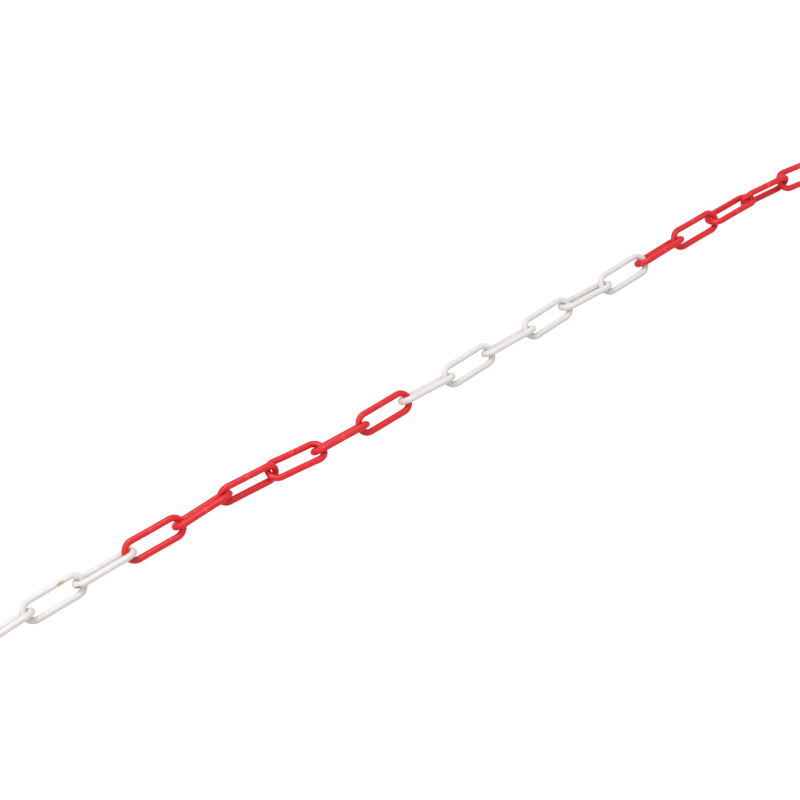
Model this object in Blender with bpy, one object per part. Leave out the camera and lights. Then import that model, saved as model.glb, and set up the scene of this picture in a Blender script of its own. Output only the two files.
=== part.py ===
"""A plastic barrier chain in bands of white and red links, laid out along the ground.

Metres, +Z up. The chain runs along +X from its first white link to its last red one, and lies on z = 0.
Every link is one closed moulding that passes through the two links beside it. The middle link carries the
others: each link outside it has its origin inside its inner neighbour's end bar, where that bar holds it,
with local +X running outwards along the link and local +Z square to its loop, which is its hinge's axis.
"""

import math

import bpy
from mathutils import Matrix, Vector

# The link, measured over the plastic.
BAR = 0.006  # diameter of the round bar
LINK_LENGTH = 0.061
LINK_WIDTH = 0.0235  # its two ends are half circles this wide
PLAY = 0.0007  # how loosely two links lie in each other, bar to bar
TWISTED_PLAY = 0.0028  # the same where they cross at so sharp an angle that their curves meet first
TWISTED_BELOW = 62  # degrees between two links' loops

# How finely the bar is faceted.
END_STEPS = 6  # facets round each half-circle end
BEVEL_RESOLUTION = 3  # ten sides round the bar

# The chain: bands of one colour, from the end at -X to the end at +X.
BAND_COLOURS = ("white", "red", "white", "red")
LINKS_PER_BAND = 6
MIDDLE_LINK = 12

# How each link lies, in degrees about the chain's run: 0 is flat on the ground, 90 stands on edge.
# Neighbours lean against each other at about 45 and 135. At three crossings the chain is twisted round.
LEANS = (
    45, 135, 45, 135, 45, 140,
    50, 135, 80, 5, 130, 50,
    135, 40, 135, 35, 145, 35,
    135, 50, -20, 100, 30, 120,
)  # fmt: skip

# How far each end of each link lies off the straight line, in millimetres towards +Y.
WANDER_MM = (
    1, 1.5, 1.5, 2.5, 5.5, 6, 6,
    5.5, 6.5, 3.5, 0, -1.5, -1,
    -3, -1.5, -2.5, 0.5, -1.5, -1,
    0, 0, -1.5, -5, -11, -15,
)  # fmt: skip

# Finish of the two plastics: colour, roughness.
PLASTICS = {
    "white": ((0.86, 0.85, 0.82), 0.38),
    "red": ((0.74, 0.03, 0.045), 0.34),
}

END_RADIUS = (LINK_WIDTH - BAR) / 2  # of the bar's centre line
BAR_TO_BAR = LINK_LENGTH - BAR  # between the centres of a link's two end bars
LINK_COUNT = len(BAND_COLOURS) * LINKS_PER_BAND


def colour_of(number):
    """The colour of a link, counted from 1 at the -X end."""
    return BAND_COLOURS[(number - 1) // LINKS_PER_BAND]


def plastic(name, colour, roughness):
    material = bpy.data.materials.new(name)
    material.use_nodes = True
    shader = material.node_tree.nodes["Principled BSDF"]
    shader.inputs["Base Color"].default_value = (*colour, 1.0)
    shader.inputs["Roughness"].default_value = roughness
    shader.inputs["Metallic"].default_value = 0.0
    return material


def play_inside(number):
    """How loosely a link lies in its neighbour nearer the middle."""
    inner = number - 1 if number > MIDDLE_LINK else number + 1
    crossing = abs((LEANS[number - 1] - LEANS[inner - 1] + 90) % 180 - 90)
    return TWISTED_PLAY if crossing < TWISTED_BELOW else PLAY


def reach(number):
    """From a link's origin, inside its neighbour's end bar, to the centre of its own outer end bar."""
    return BAR_TO_BAR - BAR - play_inside(number)


def loop_points(number):
    """The bar's centre line round a link, in its own XY plane."""
    outer_x = reach(number)
    ends = ((outer_x - END_RADIUS, -90), (outer_x - BAR_TO_BAR + END_RADIUS, 90))
    points = []
    for centre_x, start in ends:
        for step in range(END_STEPS + 1):
            angle = math.radians(start + 180 * step / END_STEPS)
            points.append((centre_x + END_RADIUS * math.cos(angle), END_RADIUS * math.sin(angle), 0.0))
    return points


def loop_curve(number, material):
    """A closed round bar that follows loop_points."""
    curve = bpy.data.curves.new(f"loop_{number:02d}", "CURVE")
    curve.dimensions = "3D"
    curve.bevel_depth = BAR / 2
    curve.bevel_resolution = BEVEL_RESOLUTION
    points = loop_points(number)
    spline = curve.splines.new("POLY")
    spline.points.add(len(points) - 1)
    for spline_point, point in zip(spline.points, points):
        spline_point.co = (*point, 1.0)
    spline.use_cyclic_u = True
    curve.materials.append(material)
    return curve


def half_height(number):
    """How high a link's long axis lies when its lower side bar rests on the ground."""
    return END_RADIUS * abs(math.sin(math.radians(LEANS[number - 1]))) + BAR / 2


def held_point(place):
    """(y, z) of the chain's run at a place, from 0 at -X to LINK_COUNT. z suits the higher link there."""
    beside = [number for number in (place, place + 1) if 1 <= number <= LINK_COUNT]
    return WANDER_MM[place] / 1000, max(half_height(number) for number in beside)


def step_along(start, place, length):
    """The point that far from start, with held_point(place)'s y and z. A length below 0 goes towards -X."""
    y, z = held_point(place)
    along = math.sqrt(length**2 - (y - start.y) ** 2 - (z - start.z) ** 2)
    return Vector((start.x + math.copysign(along, length), y, z))


def link_frame(origin, outer, number):
    """A link's placing: its origin, +X towards outer, and its loop leaning about the run as LEANS says."""
    outwards = (outer - origin).normalized()
    run = outwards if outwards.x > 0 else -outwards
    level = Vector((0, 0, 1)).cross(run).normalized()
    lean = math.radians(LEANS[number - 1])
    across = level * math.cos(lean) + run.cross(level) * math.sin(lean)
    square = outwards.cross(across)
    frame = Matrix((outwards, across, square)).transposed().to_4x4()
    frame.translation = origin
    return frame


def chain_frames():
    """Every link's placing in the world, by number, worked outwards from the middle link."""
    frames = {}
    y, z = held_point(MIDDLE_LINK - 1)
    low_end = Vector((0, y, z))
    high_end = step_along(low_end, MIDDLE_LINK, BAR_TO_BAR)
    middle_origin = high_end - (high_end - low_end).normalized() * reach(MIDDLE_LINK)
    frames[MIDDLE_LINK] = link_frame(middle_origin, high_end, MIDDLE_LINK)

    origin = high_end
    for number in range(MIDDLE_LINK + 1, LINK_COUNT + 1):
        outer = step_along(origin, number, reach(number))
        frames[number] = link_frame(origin, outer, number)
        origin = outer

    origin = low_end
    for number in range(MIDDLE_LINK - 1, 0, -1):
        outer = step_along(origin, number - 1, -reach(number))
        frames[number] = link_frame(origin, outer, number)
        origin = outer
    return frames


def centred(frames):
    """The same frames, moved so that the chain's box is centred on the origin in X and Y."""
    spots = [frame @ Vector(point) for number, frame in frames.items() for point in loop_points(number)]
    shift = Vector((0, 0, 0))
    for axis in (0, 1):
        values = [spot[axis] for spot in spots]
        shift[axis] = -(min(values) + max(values)) / 2
    return {number: Matrix.Translation(shift) @ frame for number, frame in frames.items()}


def build_chain():
    for old in list(bpy.data.objects):
        bpy.data.objects.remove(old)
    collection = bpy.data.collections.new("plastic_barrier_chain")
    bpy.context.scene.collection.children.link(collection)

    plastics = {}
    for colour, (tint, roughness) in PLASTICS.items():
        plastics[colour] = plastic(f"{colour}_plastic", tint, roughness)

    for number, frame in sorted(centred(chain_frames()).items()):
        colour = colour_of(number)
        link = bpy.data.objects.new(f"link_{number:02d}_{colour}", loop_curve(number, plastics[colour]))
        link.matrix_world = frame
        collection.objects.link(link)


build_chain()
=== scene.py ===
# %% [markdown]
# # A plastic barrier chain
#
# Barrier chain marks off a closed path or a parking space. Each link is a closed loop of round plastic
# bar, injection moulded through the link before it, so there is no joint to open and nothing to screw
# together. Six white links and six red ones take turns.
#
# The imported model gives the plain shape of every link, where it lies and how it may swing. This lesson
# keeps those sizes and places. It makes the fine surface: round bar instead of flat facets, the marks
# that a mould leaves, and two plastics that look like plastic.

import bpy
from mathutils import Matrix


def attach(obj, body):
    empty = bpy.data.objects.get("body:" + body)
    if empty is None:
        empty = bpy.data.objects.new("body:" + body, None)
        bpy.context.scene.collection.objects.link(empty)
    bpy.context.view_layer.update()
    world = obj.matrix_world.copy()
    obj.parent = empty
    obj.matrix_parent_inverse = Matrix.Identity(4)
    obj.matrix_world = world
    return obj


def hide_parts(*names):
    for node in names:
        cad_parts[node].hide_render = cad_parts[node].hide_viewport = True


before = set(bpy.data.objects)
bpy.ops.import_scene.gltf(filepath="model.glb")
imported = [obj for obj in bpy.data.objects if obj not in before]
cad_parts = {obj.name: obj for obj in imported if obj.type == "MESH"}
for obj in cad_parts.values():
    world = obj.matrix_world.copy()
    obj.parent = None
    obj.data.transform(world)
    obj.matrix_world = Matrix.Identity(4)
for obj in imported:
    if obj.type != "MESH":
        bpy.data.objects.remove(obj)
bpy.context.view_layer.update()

# %% [markdown]
# ## Measure the links
#
# A link could be placed by copying its position from the design file. It is safer to read it from the
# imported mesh, because then the fine link can't drift away from the one that collides and swings.
#
# A loop is longest along its run, narrower across and thinnest square to itself. The directions in
# which a cloud of points spreads most and least are the eigenvectors of its covariance, so they are the
# link's own axes.

# %% Read each link's own axes
import math
import random

import bpy
import numpy as np
from mathutils import Matrix, Quaternion, Vector

MM = 0.001


def own_axes(places):
    """Three directions: along the link towards +X, across its loop towards +Z, and square to both."""
    spread = np.cov((places - places.mean(axis=0)).T)
    square, across, along = np.linalg.eigh(spread)[1].T
    along = along * np.sign(along[0])
    across = across * np.sign(across[2])
    return along, across, np.cross(along, across)


def link_place(node):
    """The link's matrix, from its middle, and its size along its three axes."""
    corners = np.array([corner.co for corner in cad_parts[node].data.vertices])
    corners = np.unique(corners.round(7), axis=0)
    axes = own_axes(corners)
    reach = [corners @ axis for axis in axes]
    middle = sum((r.max() + r.min()) / 2 * axis for r, axis in zip(reach, axes))
    place = Matrix([list(axis) for axis in axes]).transposed().to_4x4()
    place.translation = Vector(middle)
    return place, [np.ptp(r) for r in reach]


link_names = sorted(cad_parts)
places = {name: link_place(name)[0] for name in link_names}
link_length, link_width, flat_to_flat = link_place(link_names[0])[1]

CAD_BAR_SIDES = 10
bar = flat_to_flat / math.cos(math.pi / CAD_BAR_SIDES)
print("link in mm:", [round(size / MM, 2) for size in (link_length, link_width, bar)])

# %% [markdown]
# ## Walk round the loop
#
# A bar that follows a line is often made as a curve with a round bevel. That gives a smooth bar
# quickly, but every ring of it is alike, and this bar needs marks in chosen spots. So the links are
# swept by hand: a list of stations round the loop, and a ring of points at each.
#
# The line runs down the middle of the bar: one straight side, a half circle, the other side and a half
# circle. Stations stand close together where there is a mark to show, and further apart on plain bar.

# %% Stations along the bar
BAR_RADIUS = bar / 2
END_RADIUS = (link_width - bar) / 2
HALF_SIDE = (link_length - link_width) / 2
END_STATIONS = 26
COARSE_STEP = 1.3 * MM
FINE_STEP = 0.3 * MM

GATE_REACH = 1.6 * MM  # from the middle of the gate's scar to past its edge
PIN_RADIUS = 1.1 * MM
PIN_PLACES = (-11 * MM, 11 * MM)  # along each side bar


def side_stations(marks):
    """Distances along a straight side, from one end to the other, closer together round the marks."""
    spots = [-HALF_SIDE]
    while spots[-1] < HALF_SIDE - COARSE_STEP:
        near = min(abs(spots[-1] + FINE_STEP - mark) for mark in marks) < GATE_REACH
        spots.append(spots[-1] + (FINE_STEP if near else COARSE_STEP))
    return np.array(spots)


def loop_stations():
    """x, y, outward angle and distance from the gate, for each station, going round the loop once."""
    upper = side_stations((0, *PIN_PLACES))[::-1]
    lower = side_stations(PIN_PLACES)
    turn = (np.arange(END_STATIONS) + 0.5) / END_STATIONS * math.pi
    near_turn = math.pi / 2 + turn
    far_turn = math.pi * 1.5 + turn
    angle = np.concatenate([
        np.full(len(upper), math.pi / 2),
        near_turn,
        np.full(len(lower), math.pi * 1.5),
        far_turn,
    ])
    x = np.concatenate([
        upper,
        -HALF_SIDE + END_RADIUS * np.cos(near_turn),
        lower,
        HALF_SIDE + END_RADIUS * np.cos(far_turn),
    ])
    y = END_RADIUS * np.sin(angle)
    half_loop = 2 * HALF_SIDE + math.pi * END_RADIUS
    along_side = np.abs(x)
    arc = END_RADIUS * np.arccos(np.clip(np.sin(angle), -1, 1))
    from_gate = np.where(np.sin(angle) > 0.999, along_side, HALF_SIDE + arc)
    from_gate = np.where(np.sin(angle) < -0.999, half_loop - along_side, from_gate)
    return x, y, angle, from_gate


station_x, station_y, outward, from_gate = loop_stations()
weld_distance = from_gate.max()
print("stations round a link:", len(station_x), " half way round in mm:", round(weld_distance / MM, 1))

# %% [markdown]
# ## The mould's parting line
#
# The two halves of a mould leave a thin ridge on the plastic where they meet. A chain's neighbouring
# links are moulded together, one leaning 45 degrees to the left of the mould's opening direction and
# the next 45 degrees to the right. The ridge therefore doesn't run along the middle of the bar. It
# follows the places where the surface runs along the opening direction: 45 degrees round the bar on the
# straight sides, drifting to the middle at the tips of the link.
#
# For a ring whose outward side points at angle a, that is where the tangent of the angle round the bar
# is -sin(a) for one lean and +sin(a) for the other. Every ring starts at the ridge, so the mesh has
# closely spaced points exactly where the ridge needs them.

# %% Rings round the bar
RIDGE_CLUSTER = (-8, -4, -1.8, 0, 1.8, 4, 8)  # degrees
PIN_FACE_POINTS, PLAIN_FACE_POINTS = 17, 10  # between the two ridges, on either side
RIDGE_HEIGHT = 0.09 * MM
RIDGE_WIDTH = 0.16 * MM
HALVES_SLIP = 0.05 * MM  # how far one half of the mould sat beside the other


def face_offsets(start, count):
    """Evenly spaced angles from the points round the ridge at start to those round the other ridge."""
    low, high = start + RIDGE_CLUSTER[-1], start + 180 + RIDGE_CLUSTER[0]
    return np.linspace(low, high, count + 2)[1:-1]


def ring_offsets():
    """Angles round the bar from the outer ridge: close together at the ridges and the ejector pins."""
    pin_face = face_offsets(0, PIN_FACE_POINTS)
    plain_face = face_offsets(180, PLAIN_FACE_POINTS)
    inner_ridge = [180 + offset for offset in RIDGE_CLUSTER]
    outer_ridge = [offset % 360 for offset in RIDGE_CLUSTER]
    return np.radians(sorted([*pin_face, *plain_face, *inner_ridge, *outer_ridge]))


def ridge_angles(mould_side):
    """Where the outer ridge lies round the bar at each station. mould_side is the lean, 1 or -1."""
    return np.arctan(-mould_side * np.sin(outward))


offsets = ring_offsets()
print("points round the bar:", len(offsets), " points in a link:", len(offsets) * len(outward))

# %% [markdown]
# ## Marks in the surface
#
# These marks are shallow, mostly under a tenth of a millimetre, but they tell a moulded bar from a
# drawn one:
#
# * the ridge where the mould parted, with one half sitting a hair beside the other,
# * the gate's scar, a small torn nub on the ridge where the link was cut from its runner,
# * the flats where the ejector pins pushed the link out,
# * the hollows that neighbours rub inside the two ends,
# * a slight bow in the side bars, because plastic shrinks as it cools.
#
# Shallow marks are often left to a bump map. Real geometry also catches light at the outline.

# %% Height of the surface at every point
GATE_LENGTH, GATE_WIDTH, GATE_HEIGHT = 0.9 * MM, 0.55 * MM, 0.28 * MM
PIN_FLAT_DEPTH = 0.09 * MM
RUB_DEPTH = 0.05 * MM
RUB_SPREAD = math.radians(38)  # of the bend, each way from its tip
OUT_OF_REACH = 1.0  # metres, for the parts of a link where a mark can't be


def ease(low, high, value):
    """0 below low, 1 above high and a smooth S between them."""
    share = np.clip((value - low) / (high - low), 0, 1)
    return share * share * (3 - 2 * share)


def ridge(distance):
    return RIDGE_HEIGHT * np.exp(-((distance / RIDGE_WIDTH) ** 2))


def rub_mask(around):
    """1 where a neighbour's bar lies inside the bend, fading out round the bar and along it."""
    from_tip = np.arccos(np.clip(np.abs(np.cos(outward)), 0, 1))
    in_bend = (1 - ease(0.3 * RUB_SPREAD, RUB_SPREAD, from_tip)) * (np.abs(station_x) > HALF_SIDE)
    return in_bend[:, None] * ease(0.25, 0.95, -np.cos(around))


def gate_shape(around_distance):
    """A torn nub: a raised oval with a small pit in its top."""
    along = from_gate[:, None]
    q = np.hypot(along / GATE_LENGTH, around_distance / GATE_WIDTH)
    return GATE_HEIGHT * ((1 - ease(0.7, 1.1, q)) - 0.4 * (1 - ease(0.0, 0.55, q)))


def pin_distance():
    """Distance over the surface from every point to the nearest ejector pin's mark."""
    on_side = np.abs(np.abs(np.sin(outward)) - 1) < 1e-6
    along = np.min([np.abs(station_x - place) for place in PIN_PLACES], axis=0)
    along = np.where(on_side, along, OUT_OF_REACH)
    return np.hypot(along[:, None], BAR_RADIUS * offsets[None, :] - BAR_RADIUS * math.pi / 2)


print("gate nub in mm:", round(GATE_HEIGHT / MM, 2), " pin flats in mm:", round(PIN_FLAT_DEPTH / MM, 2))

# %% [markdown]
# ## Sweep one link
#
# The rings are joined to one closed tube. The surface also carries numbers for the materials to read,
# stored on its points as attributes: how far a point is from the gate along the bar, how much a
# neighbour rubs it, how near the ground it lies, and a number of the link's own. A texture coordinate
# could give some of this, but only the sweep knows which way the bar runs.

# %% Sweep the bar and store what the plastics need to know
SIDE_BOW = 0.25 * MM  # the most that a side bar bows inwards
dice = random.Random(24)


def bowed_y(bow):
    """y of the stations with the two side bars bowed by that much in the middle."""
    share = 1 - np.clip(np.abs(station_x) / HALF_SIDE, 0, 1) ** 2
    return station_y + np.sign(station_y) * bow * share


def mark_heights(rub):
    """How far the surface stands off a plain round bar at every point."""
    to_ridge = BAR_RADIUS * np.abs((offsets + math.pi / 2) % math.pi - math.pi / 2)[None, :]
    to_outer_ridge = BAR_RADIUS * np.abs((offsets + math.pi) % (2 * math.pi) - math.pi)[None, :]
    height = ridge(to_ridge) * (1 - rub) + gate_shape(to_outer_ridge) - RUB_DEPTH * rub

    # A pin's flat cuts the bar off level. The 0.2 only stops a division by zero on the far side.
    flat = (BAR_RADIUS - PIN_FLAT_DEPTH) / np.maximum(np.sin(offsets), 0.2)[None, :] - BAR_RADIUS
    cut = np.minimum(height, np.maximum(flat, -PIN_FLAT_DEPTH))
    return np.where(pin_distance() < PIN_RADIUS, cut, height)


def flow_places():
    """For every point: how far from the gate it is, and two places across the bar."""
    from_the_gate, turn = np.broadcast_arrays(from_gate[:, None], offsets[None, :])
    drift = 0.25 * station_x[:, None]
    outwards = BAR_RADIUS * np.cos(turn)
    sideways = BAR_RADIUS * np.sin(turn) + drift
    return np.stack([from_the_gate, outwards, sideways], axis=-1)


def sweep_link(mould_side, bow):
    """The points of a link in its own axes, their angles round the bar, and its surface values."""
    ridge_at = ridge_angles(mould_side)
    around = ridge_at[:, None] + offsets[None, :]
    rub = rub_mask(around)
    height = mark_heights(rub)

    side = np.stack([np.cos(outward), np.sin(outward), 0 * outward], axis=1)[:, None, :]
    up = np.array([0.0, 0.0, 1.0])
    middle = np.stack([station_x, bowed_y(bow), 0 * station_x], axis=1)[:, None, :]
    direction = np.cos(around)[..., None] * side + np.sin(around)[..., None] * up
    points = middle + (BAR_RADIUS + height)[..., None] * direction

    slip = np.cos(ridge_at)[:, None, None] * side + np.sin(ridge_at)[:, None, None] * up
    moved_half = np.sin(offsets)[None, :, None] > 1e-6
    points = points + np.where(moved_half, slip * HALVES_SLIP, 0)
    return points, around, {"flow": flow_places(), "rub": rub}


straight_link = sweep_link(1, 0)[0]
print("swept link in mm:", (np.ptp(straight_link.reshape(-1, 3), axis=0) / MM).round(2))

# %% [markdown]
# ## Turn the rings into a mesh
#
# Each point joins the next one round its ring and the same one in the next ring, and the last ring
# joins the first. The result is one closed surface of four-sided faces, with no caps and no seam.

# %% Build the mesh


def tube_faces(rings, around):
    """Four-sided faces over a closed tube of rings x around points."""
    faces = []
    for ring in range(rings):
        start, following = ring * around, (ring + 1) % rings * around
        for spot in range(around):
            beside = (spot + 1) % around
            faces.append((start + spot, following + spot, following + beside, start + beside))
    return faces


def store(mesh, name, values):
    """Stores one number or one vector for each point of the mesh."""
    values = np.asarray(values, np.float32)
    kind, field = ("FLOAT_VECTOR", "vector") if values.ndim == 2 else ("FLOAT", "value")
    mesh.attributes.new(name, kind, "POINT").data.foreach_set(field, values.ravel())


def link_mesh(name, points, values):
    rings, around = points.shape[:2]
    mesh = bpy.data.meshes.new(name)
    mesh.from_pydata(points.reshape(-1, 3).tolist(), [], tube_faces(rings, around))
    mesh.shade_smooth()
    for key, value in values.items():
        store(mesh, key, value.reshape(-1, 3) if value.ndim == 3 else value.ravel())
    return mesh


print("faces on a link:", len(tube_faces(len(outward), len(offsets))))

# %% [markdown]
# ## Stains
#
# A chain that has been handled and laid down picks up marks. Two are easy to see on the first white
# links: a tan smear along the top of one side bar, and a small rust-brown spot under the bend of the
# next link. They are painted as masks on the points. The material breaks their edges up, so that they
# don't look like stamped ovals.

# %% Where the stains are
STAINS = {
    "link_05_white": {
        "stain": "tan_smear",
        "along": 0.165,  # of the link's length, from its middle
        "around": 98,  # degrees round the bar from its outward side
        "length": 5.2 * MM,
        "width": 1.9 * MM,
    },
    "link_06_white": {
        "stain": "rust_spot",
        "along": -0.420,
        "around": 18,
        "length": 3.6 * MM,
        "width": 1.5 * MM,
    },
}
STAIN_KINDS = ("tan_smear", "rust_spot")
STAIN_CORE = 0.35  # of its reach: inside this it is full


def stain_mask(around, stain):
    """1 in the middle of a stain, falling to 0 at its edge. Both stains are on the gate's half."""
    elsewhere = OUT_OF_REACH * (station_y < 0)
    station = np.argmin(np.abs(station_x - stain["along"] * link_length) + elsewhere)
    elsewhere = elsewhere + OUT_OF_REACH * (np.sign(station_x) != np.sign(stain["along"]))
    along = np.abs(from_gate - from_gate[station]) + elsewhere
    turn = around - math.radians(stain["around"])
    turn = np.arctan2(np.sin(turn), np.cos(turn))
    reach = np.hypot(along[:, None] / stain["length"], BAR_RADIUS * turn / stain["width"])
    return 1 - ease(STAIN_CORE, 1.0, reach)


def stain_values(name, around):
    """A mask for each kind of stain, 0 all over a link that doesn't have it."""
    masks = {kind: np.zeros(around.shape) for kind in STAIN_KINDS}
    if name in STAINS:
        masks[STAINS[name]["stain"]] = stain_mask(around, STAINS[name])
    return masks


print("stained links:", sorted(STAINS))

# %% [markdown]
# ## Node tools
#
# Materials are built from nodes. A few small helpers keep that readable. An input of a node takes
# either a plain value or a wire from another node, and feed does whichever is asked. add_node adds a
# node and feeds its inputs, and the others are short names for nodes that are used often.

# %% Helpers for shader nodes


def feed(tree, socket, value):
    """Sets an input to a plain value, or joins it to another node's output."""
    if isinstance(value, bpy.types.NodeSocket):
        tree.links.new(value, socket)
    else:
        socket.default_value = value


def add_node(tree, kind, inputs=None, **settings):
    """A node with its settings made and its inputs fed."""
    made = tree.nodes.new(kind)
    for key, value in settings.items():
        setattr(made, key, value)
    for key, value in (inputs or {}).items():
        feed(tree, made.inputs[key], value)
    return made


def math_node(tree, operation, first, second=0.0, third=0.0, clamp=False):
    inputs = {0: first, 1: second, 2: third}
    return add_node(tree, "ShaderNodeMath", inputs, operation=operation, use_clamp=clamp).outputs[0]


def smooth_step(tree, value, low, high):
    """The shader's version of ease()."""
    inputs = {"Value": value, "From Min": low, "From Max": high}
    ramp = add_node(tree, "ShaderNodeMapRange", inputs, interpolation_type="SMOOTHSTEP")
    return ramp.outputs["Result"]


def blend_colours(tree, share, first, second):
    """first where share is 0 and second where it is 1."""
    inputs = {0: share, 6: first, 7: second}  # a Mix node keeps its two colours at 6 and 7
    return add_node(tree, "ShaderNodeMix", inputs, data_type="RGBA").outputs[2]


print("node helpers are ready")

# %% [markdown]
# ## Stored values and noise
#
# An Attribute node reads what the sweep stored on the points. A Noise Texture breaks an even effect up.
# It is set by scale, which is patches per metre, so the helper turns a size round: a patch a millimetre
# across is easier to picture than a scale of a thousand.

# %% Helpers for stored values and noise


def point_value(tree, name):
    """The number that the sweep stored on the points."""
    return add_node(tree, "ShaderNodeAttribute", attribute_name=name).outputs["Fac"]


def point_vector(tree, name):
    return add_node(tree, "ShaderNodeAttribute", attribute_name=name).outputs["Vector"]


def noise(tree, place, size, detail=2.0, roughness=0.5):
    """Soft random patches, about size metres across, from 0 to 1."""
    joined = isinstance(size, bpy.types.NodeSocket)
    scale = math_node(tree, "DIVIDE", 1.0, size) if joined else 1.0 / size
    inputs = {"Vector": place, "Scale": scale, "Detail": detail, "Roughness": roughness}
    return add_node(tree, "ShaderNodeTexNoise", inputs).outputs["Fac"]


def own_place(tree, place):
    """The place shifted by the link's own number, so that no two links share a pattern."""
    number = point_value(tree, "own_number")
    shift = add_node(tree, "ShaderNodeCombineXYZ", {"X": number, "Y": number, "Z": number}).outputs[0]
    return add_node(tree, "ShaderNodeVectorMath", {0: place, 1: shift}, operation="ADD").outputs[0]


print("noise helpers are ready")

# %% [markdown]
# ## Node groups
#
# Both plastics copy their mould, flow along the bar and wear in the same way. Those three effects are
# node groups: each is built once, with named sockets, and placed in each plastic with that plastic's
# values. The other way, a copy of the nodes in each material, would have to be mended twice.

# %% Helpers for node groups
FLOAT = "NodeSocketFloat"


def start_group(name, inputs, outputs):
    """A node group with named sockets: inputs as {name: (kind, default)}, outputs as {name: kind}."""
    group = bpy.data.node_groups.new(name, "ShaderNodeTree")
    for key, (kind, default) in inputs.items():
        group.interface.new_socket(key, in_out="INPUT", socket_type=kind).default_value = default
    for key, kind in outputs.items():
        group.interface.new_socket(key, in_out="OUTPUT", socket_type=kind)
    return group, group.nodes.new("NodeGroupInput").outputs, group.nodes.new("NodeGroupOutput").inputs


def use_group(tree, group, **values):
    """The group placed in a material with its own values. A socket's name has _ for each space."""
    placed = tree.nodes.new("ShaderNodeGroup")
    placed.node_tree = group
    for key, value in values.items():
        feed(tree, placed.inputs[key.replace("_", " ")], value)
    return placed.outputs


print("group helpers are ready")

# %% [markdown]
# ## Moulded skin
#
# A mould is polished only as far as the job needs. The plastic copies its surface: a soft waviness that
# breaks a reflection up, and under it a fine grain. Both are heights, so they feed a Bump node. Every
# link shifts the pattern by its own number, or all of them would be wavy in the same places.

# %% The moulded skin group
PATCH_SIZE = 9 * MM
DULL_BAND = (0.42, 0.68)  # of the noise: plain below, dull above


def moulded_skin_group():
    """Height of a moulded surface, and patches where it came out duller."""
    group, given, made = start_group(
        "moulded_skin",
        {
            "Wave Size": (FLOAT, 1.4 * MM),
            "Grain Size": (FLOAT, 0.12 * MM),
            "Grain Share": (FLOAT, 0.25),
        },
        {"Height": FLOAT, "Dull Patches": FLOAT},
    )
    place = own_place(group, add_node(group, "ShaderNodeTexCoord").outputs["Object"])
    wave = noise(group, place, given["Wave Size"], detail=1.0)
    grain = noise(group, place, given["Grain Size"], detail=2.0)
    height = math_node(group, "MULTIPLY_ADD", grain, given["Grain Share"], wave)
    patches = noise(group, place, PATCH_SIZE, detail=3.0)
    group.links.new(height, made["Height"])
    group.links.new(smooth_step(group, patches, *DULL_BAND), made["Dull Patches"])
    return group


moulded_skin = moulded_skin_group()
print("group:", moulded_skin.name)

# %% [markdown]
# ## Flow marks
#
# The melt enters at the gate, splits both ways round the loop, and meets again on the far side. It
# leaves faint streaks along the bar, a pale blush round the gate and a hairline where the two streams
# met. The flow attribute holds the distance from the gate first, so squeezing that axis draws the noise
# out into streaks along the bar.

# %% The flow marks group
STREAK_BAND = (0.38, 0.72)  # of the noise: plain below, streak above
RAGGEDNESS = 1.2 * MM  # how far the streaks push the blush's edge and the meeting line about
MEETING_BAND = (weld_distance - 0.25 * MM, weld_distance + 0.35 * MM)


def flow_marks_group():
    """Streaks along the bar, the pale blush round the gate and the line where the two streams met."""
    group, given, made = start_group(
        "flow_marks",
        {"Streak Width": (FLOAT, 1.1 * MM), "Stretch": (FLOAT, 14.0), "Blush Reach": (FLOAT, 4 * MM)},
        {"Streaks": FLOAT, "Gate Blush": FLOAT, "Meeting Line": FLOAT},
    )
    flow = point_vector(group, "flow")
    number = point_value(group, "own_number")
    parts = add_node(group, "ShaderNodeSeparateXYZ", {0: flow}).outputs
    squeezed = math_node(group, "DIVIDE", parts[0], given["Stretch"])
    along = math_node(group, "ADD", squeezed, number)
    axes = {"X": along, "Y": parts[1], "Z": parts[2]}
    place = add_node(group, "ShaderNodeCombineXYZ", axes).outputs[0]
    streaks = noise(group, place, given["Streak Width"], detail=2.0)
    group.links.new(smooth_step(group, streaks, *STREAK_BAND), made["Streaks"])
    ragged = math_node(group, "MULTIPLY_ADD", streaks, RAGGEDNESS, parts[0])
    group.links.new(smooth_step(group, ragged, given["Blush Reach"], 0.0), made["Gate Blush"])
    group.links.new(smooth_step(group, ragged, *MEETING_BAND), made["Meeting Line"])
    return group


flow_marks = flow_marks_group()
print("group:", flow_marks.name)

# %% [markdown]
# ## Rubbed bends and the ground
#
# Links move against each other inside their bends. The plastic there is scuffed dull and full of short
# scratches. Near the ground a link's colour is painted a little darker and browner, in specks. Both
# masks come from the points, and noise breaks them up.

# %% The wear group
SCRATCH_TURN = (0.6, 0.3, 0.8)  # radians, so that scratches run aslant
SCRATCH_SQUEEZE = (1, 1, 0.12)  # draws the noise out into scratches
WORN_PATCH_SIZE = 1.5 * MM
SCUFF_BAND = (0.25, 0.6)  # of the noise: untouched below, scuffed above
SPECK_BAND = (0.4, 0.75)  # the same for the darker, browner colour near the ground


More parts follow.
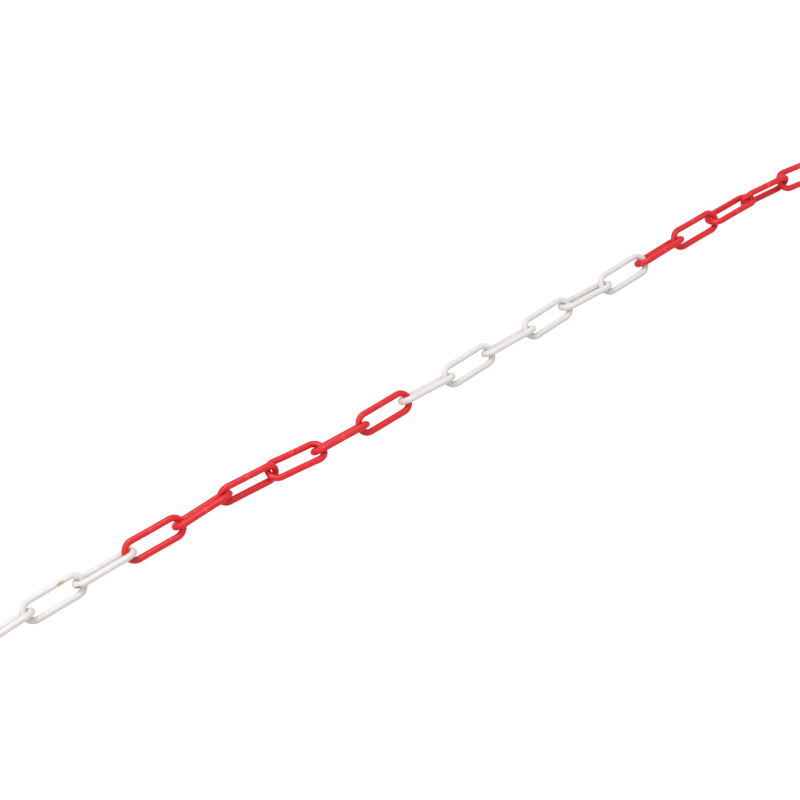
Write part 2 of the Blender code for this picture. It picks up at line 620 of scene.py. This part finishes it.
def wear_group():
    """Where the plastic is rubbed, where it is painted darker near the ground, and scratch heights."""
    group, given, made = start_group(
        "wear",
        {"Scratch Width": (FLOAT, 0.2 * MM), "Dust Share": (FLOAT, 0.5)},
        {"Scuffed": FLOAT, "Ground_Tint": FLOAT, "Scratches": FLOAT},
    )
    place = add_node(group, "ShaderNodeTexCoord").outputs["Object"]
    turn = {"Vector": place, "Rotation": SCRATCH_TURN, "Scale": SCRATCH_SQUEEZE}
    place = own_place(group, add_node(group, "ShaderNodeMapping", turn).outputs[0])
    fine = noise(group, place, given["Scratch Width"], detail=2.0)
    broad = noise(group, place, WORN_PATCH_SIZE, detail=3.0)
    rub = point_value(group, "rub")
    scuffed = math_node(group, "MULTIPLY", rub, smooth_step(group, broad, *SCUFF_BAND), clamp=True)
    scratches = math_node(group, "MULTIPLY", scuffed, fine)
    # Near the ground the colour is painted darker and browner, in specks.
    low = point_value(group, "near_ground")
    specks = smooth_step(group, broad, *SPECK_BAND)
    ground_tint_mask = math_node(group, "MULTIPLY", low, specks)
    ground_tint_mask = math_node(group, "MULTIPLY", ground_tint_mask, given["Dust Share"], clamp=True)
    group.links.new(scuffed, made["Scuffed"])
    group.links.new(ground_tint_mask, made["Ground_Tint"])
    group.links.new(scratches, made["Scratches"])
    return group


wear = wear_group()
print("group:", wear.name)

# %% [markdown]
# ## The two plastics
#
# Barrier chain is polyethylene or polypropylene, coloured right through. It has a soft shine, and light
# enters a little way before it comes back, which takes the hardness out of its shadows. The Principled
# shader does both: a middling roughness and a little subsurface scattering.
#
# White and red come from the same recipe, each with its own colours and finish. Inside the bends, where
# the links rub, red is painted paler and white a darker warm grey.

# %% The plastic recipe
BUMP_DEPTH = 0.008 * MM
SCRATCH_SHARE = 1.5  # of the skin's height
DULL_ROUGHNESS = 0.08  # added in the dull patches
SCUFF_ROUGHNESS = 0.22
GROUND_TINT_ROUGHNESS = 0.3
GLOW_SHARE = 0.15
GLOW_REACH = 1.5 * MM  # how far light travels inside the plastic


def plastic(name, colours, roughness, wave_size, streak_width, ground_tint_share):
    """A moulded plastic. colours holds linear colours: plain, streak, blush, bends and near the ground.
    """
    material = bpy.data.materials.new(name)
    material.use_nodes = True
    tree = material.node_tree
    shader = tree.nodes["Principled BSDF"]
    rgba = {key: (*value, 1.0) for key, value in colours.items()}

    skin = use_group(tree, moulded_skin, Wave_Size=wave_size)
    flow = use_group(tree, flow_marks, Streak_Width=streak_width)
    worn = use_group(tree, wear, Dust_Share=ground_tint_share)
    colour = blend_colours(tree, flow["Streaks"], rgba["plain"], rgba["streak"])
    colour = blend_colours(tree, flow["Gate Blush"], colour, rgba["blush"])
    colour = blend_colours(tree, flow["Meeting Line"], colour, rgba["streak"])
    # Painted darker and browner near the ground.
    colour = blend_colours(tree, worn["Ground_Tint"], colour, rgba["ground_tint"])
    # Inside the bends red is painted paler and white a darker warm grey.
    colour = blend_colours(tree, worn["Scuffed"], colour, rgba["inside_bend"])

    rough = math_node(tree, "MULTIPLY_ADD", skin["Dull Patches"], DULL_ROUGHNESS, roughness)
    rough = math_node(tree, "MULTIPLY_ADD", worn["Scuffed"], SCUFF_ROUGHNESS, rough)
    rough = math_node(tree, "MULTIPLY_ADD", worn["Ground_Tint"], GROUND_TINT_ROUGHNESS, rough, clamp=True)
    height = math_node(tree, "MULTIPLY_ADD", worn["Scratches"], SCRATCH_SHARE, skin["Height"])
    bump = add_node(tree, "ShaderNodeBump", {"Height": height, "Distance": BUMP_DEPTH})

    tree.links.new(colour, shader.inputs["Base Color"])
    tree.links.new(rough, shader.inputs["Roughness"])
    tree.links.new(bump.outputs[0], shader.inputs["Normal"])
    shader.inputs["IOR"].default_value = 1.5
    shader.inputs["Subsurface Weight"].default_value = GLOW_SHARE
    shader.inputs["Subsurface Scale"].default_value = GLOW_REACH
    shader.inputs["Subsurface Radius"].default_value = (1.0, 1.0, 1.0)
    return material, colour


# %% [markdown]
# The red is a signal red. Its streaks are a shade darker and its scuffs a chalky pink. Near the ground
# it is painted a darker reddish brown.

# %% Red plastic
RED = {
    "plain": (0.79, 0.016, 0.028),
    "streak": (0.71, 0.011, 0.020),
    "blush": (0.83, 0.05, 0.06),
    "inside_bend": (0.79, 0.07, 0.075),
    # painted a darker reddish brown near the ground
    "ground_tint": (0.50, 0.12, 0.10),
}
RED_FINISH = {"roughness": 0.31, "wave_size": 1.4 * MM, "streak_width": 1.1 * MM, "ground_tint_share": 0.5}
red_plastic, _ = plastic("moulded_red", RED, **RED_FINISH)
print("material:", red_plastic.name)

# %% [markdown]
# The white is a touch warm. It shows dirt more than the red does, so the two stains are added to it as
# a last layer: the masks painted on the points, with their edges broken up.

# %% White plastic
WHITE = {
    "plain": (0.80, 0.797, 0.80),
    "streak": (0.765, 0.757, 0.752),
    "blush": (0.82, 0.81, 0.80),
    # painted a darker warm grey inside the bends, where the neighbouring links cross
    "inside_bend": (0.66, 0.63, 0.60),
    # painted a darker, browner grey near the ground
    "ground_tint": (0.60, 0.55, 0.50),
}
WHITE_FINISH = {"roughness": 0.33, "wave_size": 1.4 * MM, "streak_width": 1.1 * MM, "ground_tint_share": 0.5}
STAIN_COLOURS = {"tan_smear": (0.62, 0.42, 0.26, 1.0), "rust_spot": (0.42, 0.17, 0.045, 1.0)}
STAIN_GRAIN = 1.3 * MM
STAIN_RAGGEDNESS = 0.9
STAIN_BAND = (0.6, 1.35)  # of mask and noise together: clean below, stained above
white_plastic, white_colour = plastic("moulded_white", WHITE, **WHITE_FINISH)


def add_stain(tree, colour, mask_name, stain_colour):
    """colour with a stain over it where the mask and a ragged noise agree."""
    place = add_node(tree, "ShaderNodeTexCoord").outputs["Object"]
    ragged = noise(tree, place, STAIN_GRAIN, detail=4.0, roughness=0.6)
    amount = math_node(tree, "MULTIPLY_ADD", ragged, STAIN_RAGGEDNESS, point_value(tree, mask_name))
    return blend_colours(tree, smooth_step(tree, amount, *STAIN_BAND), colour, stain_colour)


white_tree = white_plastic.node_tree
for kind in STAIN_KINDS:
    white_colour = add_stain(white_tree, white_colour, kind, STAIN_COLOURS[kind])
feed(white_tree, white_tree.nodes["Principled BSDF"].inputs["Base Color"], white_colour)
print("material:", white_plastic.name)

# %% [markdown]
# ## Make every link
#
# All the links come from one mould, so they share the sweep. What differs is the way they leaned in the
# mould, which alternates, their bow, and the number that shifts their patterns. Each one rides on its
# own body, so the chain still swings at every joint, and each stands for the plain link of the same
# name.

# %% One piece for each link
PLASTICS = {"white": white_plastic, "red": red_plastic}
GROUND_REACH = 4 * MM


def make_link(name):
    number, colour = name.split("_")[1:]
    bow = -dice.uniform(0, 1) * SIDE_BOW
    mould_side = 1 if int(number) % 2 else -1
    points, around, values = sweep_link(mould_side, bow)
    place = np.array(places[name])
    points = points @ place[:3, :3].T + place[:3, 3]
    # How near the ground a point lies. The plastics paint their colour darker and browner there.
    values["near_ground"] = 1 - ease(0.5 * MM, GROUND_REACH, points[..., 2])
    values["own_number"] = np.full(around.shape, dice.uniform(0, 10))
    if colour == "white":
        values.update(stain_values(name, around))
    mesh = link_mesh(f"{name}_skin", points, values)
    mesh.materials.append(PLASTICS[colour])
    piece = bpy.data.objects.new(f"{name}_skin", mesh)
    bpy.context.scene.collection.objects.link(piece)
    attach(piece, name)
    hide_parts(name)
    return piece


pieces = [make_link(name) for name in link_names]
print("links made:", len(pieces), " points in all:", sum(len(piece.data.vertices) for piece in pieces))

# %% [markdown]
# ## Ground
#
# The chain lies on a plain, pale, brightly lit ground. A large sheet is enough. It throws light back up
# under the bars. A Light Path node lifts it to plain white for the camera alone, because a ground that
# really was so bright would wash the white links out.

# %% The floor
FLOOR_SIZE = 60.0
PAPER_COLOUR = (0.66, 0.61, 0.58, 1.0)
PAPER_LIFT = 0.8  # light that only the camera sees

half = FLOOR_SIZE / 2
corners = [(-half, -half, 0), (half, -half, 0), (half, half, 0), (-half, half, 0)]
floor_mesh = bpy.data.meshes.new("floor")
floor_mesh.from_pydata(corners, [], [(0, 1, 2, 3)])
floor = bpy.data.objects.new("floor", floor_mesh)
bpy.context.scene.collection.objects.link(floor)

paper = bpy.data.materials.new("pale_paper")
paper.use_nodes = True
paper_shader = paper.node_tree.nodes["Principled BSDF"]
paper_shader.inputs["Base Color"].default_value = PAPER_COLOUR
paper_shader.inputs["Roughness"].default_value = 0.9
paper_shader.inputs["Specular IOR Level"].default_value = 0.0
seen = add_node(paper.node_tree, "ShaderNodeLightPath").outputs["Is Camera Ray"]
lift = math_node(paper.node_tree, "MULTIPLY", seen, PAPER_LIFT)
paper.node_tree.links.new(lift, paper_shader.inputs["Emission Strength"])
paper_shader.inputs["Emission Color"].default_value = (1.0, 1.0, 1.0, 1.0)
floor_mesh.materials.append(paper)
print("floor:", FLOOR_SIZE, "m across")

# %% [markdown]
# ## Surroundings
#
# Even light from all round fills the shade in. The surroundings, like the ground, look whiter to the
# camera than they shine, and by the same trick.

# %% The surroundings
ROOM_COLOUR = (1.0, 0.96, 0.94, 1.0)
ROOM_LIGHT = 0.65
ROOM_SEEN = 1.1  # how bright the camera sees it

world = bpy.data.worlds.new("white_room")
bpy.context.scene.world = world
world.use_nodes = True
background = world.node_tree.nodes["Background"]
background.inputs["Color"].default_value = ROOM_COLOUR
seen = add_node(world.node_tree, "ShaderNodeLightPath").outputs["Is Camera Ray"]
strength = math_node(world.node_tree, "MULTIPLY_ADD", seen, ROOM_SEEN - ROOM_LIGHT, ROOM_LIGHT)
world.node_tree.links.new(strength, background.inputs["Strength"])
print("light from all round:", ROOM_LIGHT, " as the camera sees it:", ROOM_SEEN)

# %% [markdown]
# ## Lamps
#
# One large soft panel hangs over the chain, a little behind it and towards its near end, so each bar
# carries a soft bright line along its top and falls into shade below. A narrow strip stands off the
# near end and puts a glint on the bends. A sun lamp would be simpler, but its highlights are small and
# hard.

# %% Lamps
LAMP_COLOUR = (0.97, 0.985, 1.0)


def towards(azimuth, elevation):
    """A vector of length 1 that points there from the chain. Azimuth 0 is -Y and 90 is +X."""
    a, e = math.radians(azimuth), math.radians(elevation)
    return Vector((math.sin(a) * math.cos(e), -math.cos(a) * math.cos(e), math.sin(e)))


def panel(name, size, power, azimuth, elevation, distance):
    """A soft rectangular lamp that faces the chain."""
    light = bpy.data.lights.new(name, "AREA")
    light.shape = "RECTANGLE"
    light.size, light.size_y = size
    light.energy = power
    light.color = LAMP_COLOUR
    lamp = bpy.data.objects.new(name, light)
    bpy.context.scene.collection.objects.link(lamp)
    back = towards(azimuth, elevation)
    lamp.location = back * distance
    lamp.rotation_mode = "QUATERNION"
    lamp.rotation_quaternion = (-back).to_track_quat("-Z", "Y")
    return lamp


panel("overhead_panel", (1.2, 1.6), 26.0, azimuth=-130, elevation=81, distance=2.4)
panel("side_strip", (0.3, 1.3), 6.5, azimuth=-88, elevation=42, distance=2.2)

# %% [markdown]
# ## Camera
#
# A long lens from about a metre and a half away looks steeply down, so the chain crosses the whole view
# and its ends run out of it. The Standard view transform shows colours as they are. The default one
# would give them a film's soft highlights and turn the plain white ground grey.

# %% The camera
AIM = Vector((0.0004, 0.0112, 0.0))  # metres, beside the middle of the chain
CAMERA_AZIMUTH, CAMERA_ELEVATION, CAMERA_ROLL = -37.51, 50.71, 0.46  # degrees
CAMERA_DISTANCE = 1.461
LENS, SENSOR = 72, 36  # millimetres

to_camera = towards(CAMERA_AZIMUTH, CAMERA_ELEVATION)
camera_data = bpy.data.cameras.new("camera")
camera_data.lens = LENS
camera_data.sensor_width = SENSOR
camera = bpy.data.objects.new("camera", camera_data)
bpy.context.scene.collection.objects.link(camera)
camera.location = AIM + to_camera * CAMERA_DISTANCE
camera.rotation_mode = "QUATERNION"
level_view = (-to_camera).to_track_quat("-Z", "Y")
camera.rotation_quaternion = level_view @ Quaternion((0, 0, 1), math.radians(CAMERA_ROLL))
bpy.context.scene.camera = camera
bpy.context.scene.view_settings.view_transform = "Standard"
print("camera at", [round(value, 3) for value in camera.location])
